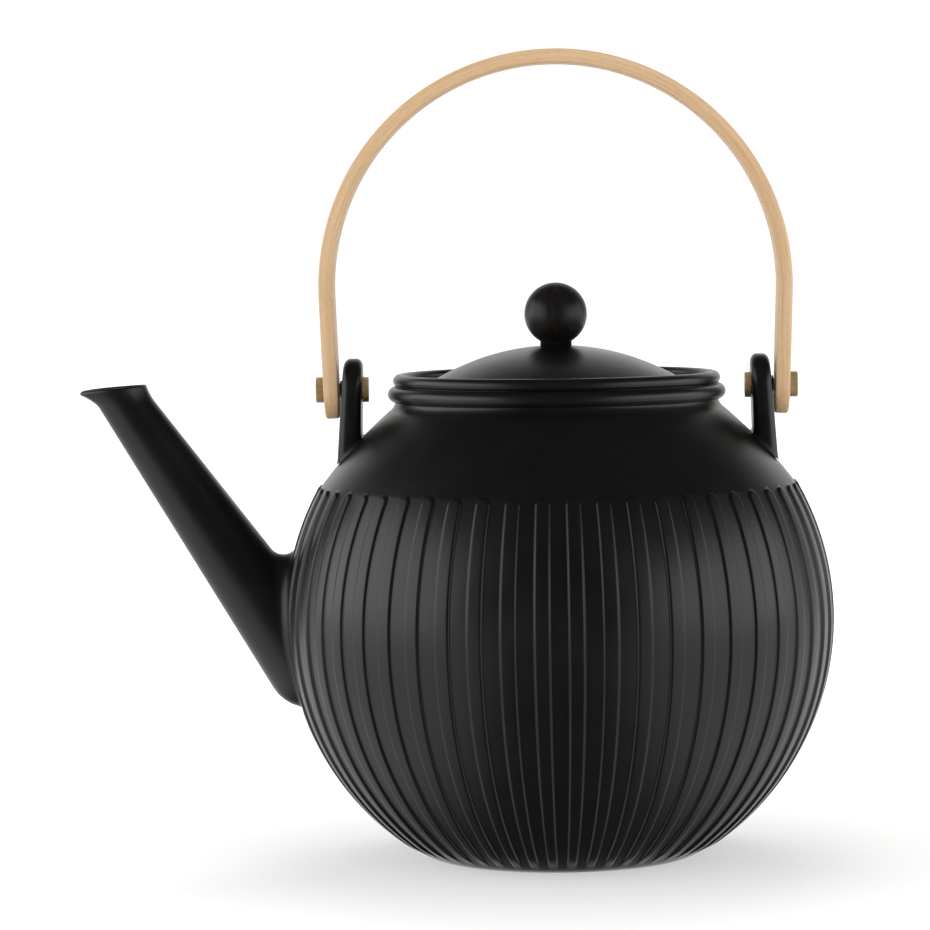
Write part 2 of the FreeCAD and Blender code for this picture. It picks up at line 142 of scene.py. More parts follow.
DOME_RADIUS = 70.0 * MM
LID_RADIUS = 43.3 * MM
LID_FLANGE = 2.8 * MM
LID_WALL = 3.5 * MM
LID_EDGE = 0.5 * MM
PLUG_DEPTH = 7.8 * MM
SEAL_GAP = 0.3 * MM
SEAL_DEPTH = 1.2 * MM
KNOB_RADIUS = 9.15 * MM
KNOB_NECK_RADIUS = 4.6 * MM
KNOB_SINK = 0.3 * MM

WIRE_PITCH = 1.5 * MM
WIRE_RADIUS = 0.13 * MM
WEAVE = 0.24 * MM

# How finely the meshes are divided.
MERGE_DISTANCE = 0.001 * MM
NUDGE = 1e-9                            # keeps a length of nothing from being divided by
RIB_COLUMNS = 20
RIB_GATHER = 0.06
SPOUT_COLUMNS = 120
HEEL_ROWS = 60
TAPER_ROWS = 400
FILLET_ROWS = 14
LIP_ROWS = 7
EAR_ROWS = 60
EAR_CROWDING = 1.6                      # a higher power crowds rows towards the ear's foot
BOW_ROWS = 260
END_ROWS = 16
EDGE_POINTS = 10
FACE_POINTS = 9
LID_COLUMNS = 160
KNOB_COLUMNS = 96
WIRE_SIDES = 5

# The room and the camera.
FLOOR_SIZE = 8.0
# The floor glows though it is no lamp, a painted glow, and the glow is made weaker near the pot as a
# painted shadow.
FLOOR_PAINTED_GLOW = (0.52, 1.0)                # strength of the floor's painted glow, near the pot and far off
FLOOR_PAINTED_SHADOW_REACH = 0.4
SOFTBOX_AIM = (0, 0, 0.42)
WORLD_STRENGTH = 1.1
CAMERA_PLACE = (0.0, -1.25, 0.1915)
CAMERA_TARGET = (-0.0271, 0.0, 0.11495)
CAMERA_LENS = 165.5                     # in millimetres, as is the sensor
CAMERA_SENSOR = 36.0
CAMERA_ROLL = math.radians(-0.8)


# ---------------------------------------------------------------- small sums

def ease(value):
    """0 below 0, 1 above 1, and a smooth rise between."""
    value = np.clip(value, 0.0, 1.0)
    return value * value * (3.0 - 2.0 * value)


def unit(vectors):
    """The vectors at length one."""
    return vectors / np.linalg.norm(vectors, axis=-1, keepdims=True)


def dot(first, second):
    """The dot product of each pair of vectors, kept as a column."""
    return np.sum(first * second, axis=-1, keepdims=True)


def circle_through(start, end, bulge):
    """The centre and radius of the circle of an arc, whose bulge is to the right of its way."""
    way = end - start
    half = np.linalg.norm(way) / 2
    right = np.array([way[1], -way[0]]) / (2 * half)
    radius = (half ** 2 + bulge ** 2) / (2 * bulge)
    return (start + end) / 2 + right * (bulge - radius), radius


def arc(start, end, bulge, count):
    """count points of an arc, from start up to but not at end.  Its bulge is to the right of the
    way it goes, and a bulge of 0 gives a straight run."""
    start = np.array(start, dtype=float)
    end = np.array(end, dtype=float)
    share = np.arange(count)[:, None] / count
    if bulge == 0:
        return start + share * (end - start)
    centre, radius = circle_through(start, end, bulge)
    sweep = 4 * math.atan(bulge / (np.linalg.norm(end - start) / 2)) * share
    spoke = start - centre
    across = np.array([-spoke[1], spoke[0]])
    return centre + np.cos(sweep) * spoke + np.sin(sweep) * across


def run(*points, count=1):
    """Straight runs through the points, up to but not at the last."""
    return np.vstack([arc(a, b, 0, count) for a, b in zip(points, points[1:])])


def gathered(share, before, after):
    """Shares from 0 to 1: so many steps before the given one, and so many after it."""
    return np.concatenate([np.linspace(0, share, before, endpoint=False), np.linspace(share, 1, after + 1)])


def belly_radius(z, radius):
    """How far a ball about the belly's centre reaches from the upright axis at the height z."""
    return math.sqrt(radius ** 2 - (z - BELLY_Z) ** 2)


def belly_arc(radius, start_z, end_z, shares):
    """Points of the belly's circle from one height to the other, at the given shares of the way."""
    start = math.asin((start_z - BELLY_Z) / radius)
    end = math.asin((end_z - BELLY_Z) / radius)
    angle = start + shares * (end - start)
    return np.column_stack([radius * np.cos(angle), BELLY_Z + radius * np.sin(angle)])


# ---------------------------------------------------------------- meshes

def make_piece(name, points, faces, body, material, node, grain=None):
    """A smooth mesh piece that rides on a CAD body, and stands for the named CAD node.  grain holds
    a place for each point, along, across and through the piece, for its material to read."""
    mesh = bpy.data.meshes.new(name)
    mesh.from_pydata(points.reshape(-1, 3).tolist(), [], faces)
    if grain is not None:
        layer = mesh.attributes.new("grain", "FLOAT_VECTOR", "POINT")
        layer.data.foreach_set("vector", grain.ravel())
    work = bmesh.new()
    work.from_mesh(mesh)
    bmesh.ops.remove_doubles(work, verts=work.verts, dist=MERGE_DISTANCE)
    bmesh.ops.recalc_face_normals(work, faces=work.faces)
    work.to_mesh(mesh)
    work.free()
    mesh.shade_smooth()
    mesh.materials.append(material)
    piece = bpy.data.objects.new(name, mesh)
    bpy.context.collection.objects.link(piece)
    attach(piece, body)
    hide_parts(node)
    return piece


def grid_faces(rows, columns, close_rows=False):
    """The quads of a grid whose columns wrap round, and whose rows may wrap too."""
    faces = []
    for row in range(rows if close_rows else rows - 1):
        low = row * columns
        high = ((row + 1) % rows) * columns
        for column in range(columns):
            after = (column + 1) % columns
            faces.append((low + column, low + after, high + after, high + column))
    return faces


def lathe(outline, columns):
    """Points and faces of an outline turned about the upright axis.  The outline closes on itself."""
    angle = np.linspace(0, TURN, columns, endpoint=False)
    ring = np.stack([np.cos(angle), np.sin(angle), np.zeros(columns)], axis=1)
    points = outline[:, 0][:, None, None] * ring[None]
    points[:, :, 2] = outline[:, 1][:, None]
    return points, grid_faces(len(outline), columns, close_rows=True)


def soften(corners, radius, steps=4):
    """A closed outline with each corner rounded off."""
    corners = np.array(corners, dtype=float)
    softened = []
    for number, corner in enumerate(corners):
        before = corners[number - 1] - corner
        after = corners[(number + 1) % len(corners)] - corner
        reach = min(radius, np.linalg.norm(before) / 2, np.linalg.norm(after) / 2)
        start = corner + unit(before) * reach
        end = corner + unit(after) * reach
        for share in np.linspace(0, 1, steps):
            softened.append(start * (1 - share) ** 2 + 2 * corner * share * (1 - share) + end * share ** 2)
    return np.array(softened)


# ---------------------------------------------------------------- spout geometry

SPOUT_WAY = np.array([-math.sin(SPOUT_LEAN), 0.0, math.cos(SPOUT_LEAN)])
SPOUT_FRONT = np.array([-math.cos(SPOUT_LEAN), 0.0, -math.sin(SPOUT_LEAN)])
SIDE = np.array([0.0, 1.0, 0.0])
UPRIGHT = np.array([0.0, 0.0, 1.0])
MOUTH_AHEAD = np.array([-math.cos(MOUTH_SLOPE), 0.0, -math.sin(MOUTH_SLOPE)])
MOUTH_UP = np.array([-math.sin(MOUTH_SLOPE), 0.0, math.cos(MOUTH_SLOPE)])
BELLY_CENTRE = np.array([0.0, 0.0, BELLY_Z])
TAPER = (SPOUT_ROOT_RADIUS - SPOUT_TIP_RADIUS) / SPOUT_LENGTH
TAPER_ANGLE = math.atan(TAPER)
HEEL_RADIUS = (SPOUT_ROOT_RADIUS + TAPER * SPOUT_HEEL) * math.cos(TAPER_ANGLE)


def spout_profile():
    """The spout's side from the bottom of its heel to past its mouth, as length run, distance along
    the axis, radius, and the angle by which the surface tips up from square to the axis."""
    tip = np.linspace(-math.pi / 2, TAPER_ANGLE, HEEL_ROWS)
    along = -SPOUT_HEEL + HEEL_RADIUS * np.sin(tip)
    radius = HEEL_RADIUS * np.cos(tip)
    straight = np.linspace(along[-1], SPOUT_LENGTH * SPOUT_OVERRUN, TAPER_ROWS)[1:]
    radius = np.concatenate([radius, radius[-1] - TAPER * (straight - along[-1])])
    along = np.concatenate([along, straight])
    tip = np.concatenate([tip, np.full(len(straight), TAPER_ANGLE)])
    length = np.concatenate([[0], np.cumsum(np.hypot(np.diff(along), np.diff(radius)))])
    return length, along, radius, tip


def spout_distance(points):
    """How far points lie outside the spout's taper and heel."""
    offset = points - SPOUT_ROOT
    along = offset @ SPOUT_WAY
    across = np.linalg.norm(offset - along[..., None] * SPOUT_WAY, axis=-1)
    side = (across - (SPOUT_ROOT_RADIUS - TAPER * along)) * math.cos(TAPER_ANGLE)
    heel = np.linalg.norm(offset + SPOUT_HEEL * SPOUT_WAY, axis=-1) - HEEL_RADIUS
    return np.where(along > -SPOUT_HEEL, side, heel)


# ---------------------------------------------------------------- pot

def rib_height(points, run_length, run_end):
    """How far the ribs stand out at points of the belly, run_length up its side from the foot."""
    pitch = TURN / RIB_COUNT
    angle = np.arctan2(points[..., 1], points[..., 0])
    from_rib = (angle % pitch) - pitch / 2
    radius = np.hypot(points[..., 0], points[..., 1])
    across = np.abs(from_rib) * radius
    half_width = RIB_HALF_ANGLE * radius
    to_end = run_end - run_length
    rounded = half_width - np.hypot(across, half_width - to_end)
    inside = np.where(to_end > half_width, half_width - across, rounded)
    height = RIB_HEIGHT * ease(inside / RIB_WALL + 0.5)
    foot = ease((points[..., 2] - RIB_FADE[0]) / (RIB_FADE[1] - RIB_FADE[0]))
    low, high = RIB_SPOUT_GAP
    return height * foot * ease((spout_distance(points) - low) / (high - low))


def foot_outline(heel):
    """The underside's outline, from the axis out to the heel where the belly starts."""
    recess_corner = (FOOT_INNER_RADIUS - FOOT_CORNER, FOOT_DEPTH)
    recess_side = (FOOT_INNER_RADIUS, FOOT_DEPTH - FOOT_CORNER)
    ring_side = (FOOT_INNER_RADIUS, FOOT_EDGE)
    ring_face = (FOOT_INNER_RADIUS + FOOT_EDGE, 0)
    return np.vstack([
        run((0, FOOT_DEPTH), recess_corner, count=4),
        arc(recess_corner, recess_side, FOOT_CORNER_BULGE, 4),
        run(recess_side, ring_side, count=2),
        arc(ring_side, ring_face, FOOT_EDGE_BULGE, 3),
        run(ring_face, (FOOT_RADIUS, 0), count=3),
        arc((FOOT_RADIUS, 0), heel, HEEL_BULGE, 8),
    ])


def pot_outline():
    """The pot's closed outline, and where the belly's stretch of it starts and ends."""
    under = foot_outline((belly_radius(HEEL_Z, SKIN_RADIUS), HEEL_Z))
    belly = belly_arc(SKIN_RADIUS, HEEL_Z, RIB_TOP_Z, gathered(0.95, 105, 25)[:-1])
    rib_top = (belly_radius(RIB_TOP_Z, SKIN_RADIUS), RIB_TOP_Z)
    rim_inside = (GALLERY_RADIUS, RIM_Z - RIM_INNER_DROP)
    throat_top = (THROAT_RADIUS, SEAT_Z)
    ceiling_foot = (belly_radius(RIB_TOP_Z, CAVITY_RADIUS), RIB_TOP_Z)
    floor_edge = (belly_radius(FLOOR_Z, CAVITY_RADIUS), FLOOR_Z)
    above = np.vstack([
        arc(rib_top, NECK_FOOT, SHOULDER_BULGE, 30),
        arc(NECK_FOOT, WAIST, WAIST_BULGE, 8),
        arc(WAIST, GROOVE, LOWER_BEAD_BULGE, 16),
        arc(GROOVE, RIM, UPPER_BEAD_BULGE, 14),
        arc(RIM, rim_inside, RIM_BULGE, 8),
        run(rim_inside, (GALLERY_RADIUS, SEAT_Z), throat_top, count=4),
        run(throat_top, (THROAT_RADIUS, THROAT_FOOT_Z), CEILING, count=3),
        arc(CEILING, ceiling_foot, CEILING_BULGE, 12),
        belly_arc(CAVITY_RADIUS, RIB_TOP_Z, FLOOR_Z, np.linspace(0, 1, 30, endpoint=False)),
        run(floor_edge, (0, FLOOR_Z), count=5),
        [(0, FLOOR_Z)],
    ])
    return np.vstack([under, belly, above]), len(under), len(under) + len(belly)


def rib_columns():
    """Angles round the pot, gathered where the ribs have their side walls, twice for each rib."""
    share = np.arange(RIB_COUNT * RIB_COLUMNS) / RIB_COLUMNS
    return (share + RIB_GATHER * np.sin(2 * TURN * share)) * TURN / RIB_COUNT


def build_pot(material):
    """The thrown shell with its raised ribs, neck beads, gallery and foot."""
    outline, first, last = pot_outline()
    angle = rib_columns()
    points = np.empty((len(outline), len(angle), 3))
    points[:, :, 0] = outline[:, :1] * np.cos(angle)
    points[:, :, 1] = outline[:, :1] * np.sin(angle)
    points[:, :, 2] = outline[:, 1:]
    belly = points[first:last]
    outward = unit(belly - BELLY_CENTRE)
    rise = np.arcsin(outward[:, :, 2])
    top = math.asin((RIB_TOP_Z - BELLY_Z) / SKIN_RADIUS)
    height = rib_height(belly, rise * SKIN_RADIUS, top * SKIN_RADIUS)
    points[first:last] = belly + outward * height[..., None]
    faces = grid_faces(len(outline), len(angle))
    make_piece("pot_shell", points, faces, "pot", material, "pot_body")


# ---------------------------------------------------------------- spout

def length_at_ball(around, offset, ball_radius):
    """Where the spout's side, moved out by an offset, leaves a ball about the belly's centre."""
    length, along, radius, tip = spout_profile()
    t = along[:, None] + np.sin(tip)[:, None] * offset
    r = radius[:, None] + np.cos(tip)[:, None] * offset
    places = SPOUT_ROOT + t[..., None] * SPOUT_WAY + r[..., None] * around
    gap = np.linalg.norm(places - BELLY_CENTRE, axis=-1) - ball_radius
    last = len(along) - 1 - np.argmax(gap[::-1] < 0, axis=0)
    column = np.arange(len(around))
    share = gap[last, column] / (gap[last, column] - gap[last + 1, column])
    return length[last] + share * (length[last + 1] - length[last])


def spout_side(around, tip_share, length_share, inset, root_length, mouth_along):
    """Points of the spout's side between its root and its mouth, flared and drawn into the beak."""
    length, along, radius, _ = spout_profile()
    mouth_length = np.interp(mouth_along, along[HEEL_ROWS:], length[HEEL_ROWS:])
    here = root_length + length_share[:, None] * (mouth_length - root_length)
    t = np.interp(here, length, along)
    r = np.interp(here, length, radius) - inset
    flare = np.clip(1 - (mouth_along - t) / FLARE_REACH, 0, 1)
    drawn = tip_share ** BEAK_NARROWING * flare ** BEAK_ONSET
    beak = drawn[..., None] * (BEAK_REACH * MOUTH_AHEAD - BEAK_DROOP * UPRIGHT)
    spoke = (r + MOUTH_FLARE * flare ** 2)[..., None] * around
    return SPOUT_ROOT + t[..., None] * SPOUT_WAY + spoke + beak


def spout_fillet(around, fillet, root_length):
    """Rows of points round the fillet between the belly and the spout, from the belly's side."""
    length, along, radius, tip = spout_profile()
    t = np.interp(root_length, length, along)[:, None]
    r = np.interp(root_length, length, radius)[:, None]
    lift = np.interp(root_length, length, tip)[:, None]
    fillet = fillet[:, None]
    surface = SPOUT_ROOT + t * SPOUT_WAY + r * around
    normal = np.sin(lift) * SPOUT_WAY + np.cos(lift) * around
    ball = surface + normal * fillet
    to_belly = unit(BELLY_CENTRE - ball)
    bend = np.arccos(np.clip(-dot(to_belly, normal), -1, 1))
    contact = ball + to_belly * fillet
    outward = contact - surface
    away = unit(outward - dot(outward, to_belly) * to_belly)
    rows = [contact + (to_belly + away) * SKIRT]
    for share in np.linspace(0, 1, FILLET_ROWS, endpoint=False):
        swing = np.sin((1 - share) * bend) * to_belly - np.sin(share * bend) * normal
        rows.append(ball + swing / np.sin(bend) * fillet)
    return np.array(rows)


def build_spout(material):
    """The tapered spout, blended into the belly by a fillet and ending in a drawn-out lip."""
    turn = np.linspace(0, TURN, SPOUT_COLUMNS, endpoint=False)
    around = np.cos(turn)[:, None] * SPOUT_FRONT + np.sin(turn)[:, None] * SIDE
    fillet = FILLET_MIDDLE - FILLET_SWING * np.cos(turn)
    root_length = length_at_ball(around, fillet, SKIN_RADIUS + fillet)
    inner_length = length_at_ball(around, -SPOUT_WALL, SKIN_RADIUS - SPOUT_SINK)

    start = SPOUT_ROOT + SPOUT_ROOT_RADIUS * around
    mouth_along = ((MOUTH_REAR - start) @ MOUTH_UP) / ((SPOUT_WAY - TAPER * around) @ MOUTH_UP)
    tip_share = np.maximum(np.cos(turn), 0)
    up = gathered(0.9, 40, 21)
    outer = spout_side(around, tip_share, up, 0, root_length, mouth_along)
    inner = spout_side(around, tip_share, up[::-1], SPOUT_WALL, inner_length, mouth_along)
    middle = (outer[-1] + inner[0]) / 2
    half = (outer[-1] - inner[0]) / 2
    over = np.linspace(0, math.pi, LIP_ROWS)[1:-1]
    lip = np.array([middle + half * math.cos(a) + MOUTH_UP * LIP_RISE * math.sin(a) for a in over])
    points = np.concatenate([spout_fillet(around, fillet, root_length), outer, lip, inner])
    faces = grid_faces(len(points), SPOUT_COLUMNS, close_rows=True)
    make_piece("spout_shell", points, faces, "pot", material, "spout")


# ---------------------------------------------------------------- rounded strips: ears and handle

def strip(length, half_width, thickness, edge, straight_rows, round_far_end):
    """Rings round a flat strip with a half-round near end and softened edges.  Each point is its
    place along, across and through the strip."""
    quarter = np.linspace(0, TURN / 4, END_ROWS)
    far_base = length - half_width if round_far_end else length
    straight = np.linspace(half_width, far_base, straight_rows)[1:-1]
    far_turn = quarter + TURN / 4 if round_far_end else np.array([TURN / 4])
    base = np.concatenate([np.full(END_ROWS, half_width), straight, np.full(len(far_turn), far_base)])
    turn = np.concatenate([quarter, np.full(len(straight), TURN / 4), far_turn])

    tilt = np.linspace(-TURN / 4, TURN / 4, EDGE_POINTS)
    rise = np.sign(tilt) * (thickness / 2 - edge) + edge * np.sin(tilt)
    inset = edge * (1 - np.cos(tilt))
    edge_side = np.ones(EDGE_POINTS)
    face_side = np.linspace(1, -1, FACE_POINTS)[1:-1]
    flat = np.ones(len(face_side))
    side = np.concatenate([edge_side, face_side, -edge_side, -face_side])
    width = half_width - np.concatenate([inset, edge * flat, inset[::-1], edge * flat])
    through = np.concatenate([rise, thickness / 2 * flat, rise[::-1], -thickness / 2 * flat])

    along = base[:, None] - width * np.cos(turn)[:, None]
    reach = side * width * np.sin(turn)[:, None]
    return np.stack([along, reach, np.broadcast_to(through, reach.shape)], axis=-1)


def shoulder_circle():
    """The centre (radius, z) and the radius of the shoulder's arc."""
    rib_top = np.array([belly_radius(RIB_TOP_Z, SKIN_RADIUS), RIB_TOP_Z])
    return circle_through(rib_top, np.array(NECK_FOOT), SHOULDER_BULGE)


def ear_rings():
    """Rings of points round an ear, which leans in and thickens a little towards its sunk foot."""
    (centre, centre_z), radius = shoulder_circle()
    rings = strip(2 * EAR_HALF_WIDTH, EAR_HALF_WIDTH, EAR_THICKNESS, EAR_EDGE, EAR_ROWS, False)
    along, across, through = np.moveaxis(rings, -1, 0)
    x = EAR_MIDDLE_X + through
    foot_z = centre_z + np.sqrt(radius ** 2 - (np.hypot(x, across) - centre) ** 2) - EAR_SINK
    below = np.clip(along / EAR_HALF_WIDTH - 1, 0, 1)
    share = 1 - (1 - below) ** EAR_CROWDING
    z = PIVOT_Z + EAR_HALF_WIDTH - np.minimum(along, EAR_HALF_WIDTH) - share * (PIVOT_Z - foot_z)
    drop = PIVOT_Z - z
    x = x + EAR_LEAN * drop + EAR_SPREAD * drop * through / EAR_THICKNESS
    return np.stack([x, across, z], axis=-1)


def flare_foot(points):
    """An ear's points, moved outwards along the shoulder where they come near it."""
    (centre, centre_z), radius = shoulder_circle()
    x, y, z = np.moveaxis(points, -1, 0)
    from_axis = np.hypot(x, y)
    rise = np.hypot(from_axis - centre, z - centre_z)
    lean_out = (from_axis - centre) / rise
    normal = np.stack([lean_out * x / from_axis, lean_out * y / from_axis, (z - centre_z) / rise], axis=-1)
    above = np.clip(rise - radius, 0, EAR_FILLET)
    flare = EAR_FILLET - np.sqrt(EAR_FILLET ** 2 - (EAR_FILLET - above) ** 2)
    through, across = EAR_FLARE
    outward = np.stack([through * (x - EAR_MIDDLE_X), across * y, np.zeros(x.shape)], axis=-1)
    outward = unit(outward + NUDGE)
    outward = unit(outward - dot(outward, normal) * normal)
    return points + outward * flare[..., None]


def build_ear(name, side, material, node):
    """An ear with a rounded top, on the side of the pot that side's sign says."""
    points = flare_foot(ear_rings())
    points[..., 0] *= side
    rows, columns = points.shape[:2]
    faces = grid_faces(rows, columns)
    faces.append(tuple(range((rows - 1) * columns, rows * columns)))
    make_piece(name, points, faces, "pot", material, node)


def build_bow(material):
    """The bent wooden strip, with round ends and softened edges."""
    radius = BOW_RADIUS - BOW_THICKNESS / 2
    knee_z = BOW_Z - radius * math.sin(BOW_LEAN)
    leg = (knee_z - PIVOT_Z) / math.cos(BOW_LEAN) + BOW_HALF_WIDTH
    arch = radius * (math.pi + 2 * BOW_LEAN)
    rings = strip(2 * leg + arch, BOW_HALF_WIDTH, BOW_THICKNESS, BOW_EDGE, BOW_ROWS, True)
    along, across, through = np.moveaxis(rings, -1, 0)
    angle = np.clip((along - leg) / radius, 0, arch / radius) - BOW_LEAN
    past = np.where(along < leg, along - leg, np.maximum(along - leg - arch, 0))
    reach = radius + through
    x = np.cos(angle) * reach - np.sin(angle) * past
    z = np.sin(angle) * reach + np.cos(angle) * past + BOW_Z
    points = np.stack([x, across, z], axis=-1)
    faces = grid_faces(*rings.shape[:2])
    bow = make_piece("bent_wood_bow", points, faces, "handle", material, "handle_bow", rings)
    bow.visible_glossy = False


# ---------------------------------------------------------------- lid and knob

def dome_line(centre_z, radius, start, end, count):
    """Points of a dome's side between two distances from the upright axis."""
    reach = np.linspace(start, end, count)
    return np.column_stack([reach, centre_z + np.sqrt(radius ** 2 - reach ** 2)])


def build_lid(material):
    """The domed lid with its flange, and the plug below with a groove for the seal."""
    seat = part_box("lid")[0][2] + PLUG_DEPTH
    flange_z = seat + LID_FLANGE
    centre_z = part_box("lid")[1][2] - DOME_RADIUS
    dome_end = math.sqrt(DOME_RADIUS ** 2 - (flange_z - centre_z) ** 2)
    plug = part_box("lid_seal")[1][0]
    seal_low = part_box("lid_seal")[0][2]
    seal_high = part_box("lid_seal")[1][2]
    neck = plug - SEAL_GAP
    groove = plug - SEAL_DEPTH
    inner = plug - LID_WALL
    edges = soften([
        (dome_end, flange_z),
        (LID_RADIUS, flange_z),
        (LID_RADIUS, seat),
        (neck, seat),
        (neck, seal_high),
        (groove, seal_high),
        (groove, seal_low),
        (neck, seal_low),
        (neck, seat - PLUG_DEPTH),
        (inner, seat - PLUG_DEPTH),
    ], LID_EDGE)
    dome = dome_line(centre_z, DOME_RADIUS, 0, dome_end - LID_EDGE, 40)
    underside = dome_line(centre_z, DOME_RADIUS - LID_WALL, inner, 0, 20)
    points, faces = lathe(np.vstack([dome, edges, underside]), LID_COLUMNS)
    make_piece("lid_shell", points, faces, "lid", material, "lid")


def build_knob(material):
    """The turned ball on its short neck, whose foot is sunk into the lid."""
    centre_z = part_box("lid_knob")[1][2] - KNOB_RADIUS
    foot_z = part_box("lid")[1][2] - KNOB_SINK
    meet = math.asin(KNOB_NECK_RADIUS / KNOB_RADIUS)
    turn = np.linspace(TURN / 4, meet - TURN / 4, 60)
    ball = np.column_stack([KNOB_RADIUS * np.cos(turn), centre_z + KNOB_RADIUS * np.sin(turn)])
    neck = [(KNOB_NECK_RADIUS, foot_z), (0, foot_z)]
    points, faces = lathe(np.vstack([ball, neck]), KNOB_COLUMNS)
    grain = points.reshape(-1, 3) - np.array([0, 0, centre_z])
    make_piece("turned_knob", points, faces, "lid", material, "lid_knob", grain)


# ---------------------------------------------------------------- woven wire of the infuser

def wire(path, closed):
    """A thin tube along a path of points, as points and faces."""
    step = np.roll(path, -1, axis=0) - np.roll(path, 1, axis=0)
    if not closed:
        step[0] = path[1] - path[0]
        step[-1] = path[-1] - path[-2]
    along = unit(step)
    slanted = [0.3, 0.2, 0.9]           # a direction that no wire runs in
    across = unit(np.cross(along, slanted) + NUDGE)
    third = np.cross(along, across)
    turn = np.arange(WIRE_SIDES) * TURN / WIRE_SIDES
    spokes = np.cos(turn)[None, :, None] * across[:, None] + np.sin(turn)[None, :, None] * third[:, None]
    points = path[:, None] + WIRE_RADIUS * spokes
    return points.reshape(-1, 3), grid_faces(len(path), WIRE_SIDES, close_rows=closed)


def join_wires(wires):
    """Several wires as one set of points and faces."""
    points = []
    faces = []
    start = 0
    for wire_points, wire_faces in wires:
        points.append(wire_points)
        faces.extend(tuple(start + corner for corner in face) for face in wire_faces)
        start += len(wire_points)
    return np.vstack(points), faces


def build_infuser_mesh(material):
    """Woven wire round the basket: uprights and hoops that pass over and under each other."""
    low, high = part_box("infuser_mesh")
    radius = high[0] - WIRE_RADIUS - WEAVE
    hoops = 2 * round((high[2] - low[2]) / WIRE_PITCH / 2)
    uprights = 2 * round(TURN * radius / WIRE_PITCH / 2)
    heights = np.linspace(low[2] + WIRE_RADIUS, high[2] - WIRE_RADIUS, hoops)
    angles = TURN * np.arange(uprights) / uprights
    wires = []
    for number, angle in enumerate(angles):
        sign = np.where((np.arange(hoops) + number) % 2 == 0, 1, -1)
        reach = radius + sign * WEAVE / 2
        path = np.column_stack([reach * math.cos(angle), reach * math.sin(angle), heights])
        wires.append(wire(path, False))
    for number, z in enumerate(heights):
        sign = np.where((np.arange(uprights) + number) % 2 == 0, -1, 1)
        reach = radius + sign * WEAVE / 2
        path = np.column_stack([reach * np.cos(angles), reach * np.sin(angles), np.full(uprights, z)])
        wires.append(wire(path, True))
    points, faces = join_wires(wires)
    make_piece("woven_sleeve", points, faces, "infuser", material, "infuser_mesh")


def build_infuser_floor(material):
    """Woven wire across the bottom of the basket, laid one way and then the other."""
    low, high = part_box("infuser_floor")
    radius = high[0] - WIRE_RADIUS
    z = (low[2] + high[2]) / 2
    places = np.arange(-radius + WIRE_PITCH / 2, radius, WIRE_PITCH)
    wires = []
    for way in (0, 1):
        for number, place in enumerate(places):
            reach = math.sqrt(radius ** 2 - place ** 2)
            crossed = np.flatnonzero(np.abs(places) < reach)
            sign = np.where((crossed + number + way) % 2, 1, -1)
            along = np.concatenate([[-reach], places[crossed], [reach]])
            height = np.concatenate([[z], z + sign * WEAVE / 2, [z]])
            across = np.full(len(along), place)
            order = [along, across] if way == 0 else [across, along]
            wires.append(wire(np.column_stack(order + [height]), False))
    points, faces = join_wires(wires)
    make_piece("woven_floor", points, faces, "infuser", material, "infuser_floor")


# ---------------------------------------------------------------- materials

# The range that cloudy noise mostly fills.
NOISE_LOW = 0.3
NOISE_HIGH = 0.7

# A Mix node has sockets of the same names for each type of data, so these go by number.
MIX_NUMBERS = (2, 3)
MIX_COLOURS = (6, 7)
MIX_COLOUR_OUT = 2


def srgb(red, green, blue):
    """A colour given on the 0 to 255 scale, as Blender's linear values."""
    def linear(value):
        value = value / 255
        return value / 12.92 if value <= 0.04045 else ((value + 0.055) / 1.055) ** 2.4
    return (linear(red), linear(green), linear(blue), 1.0)


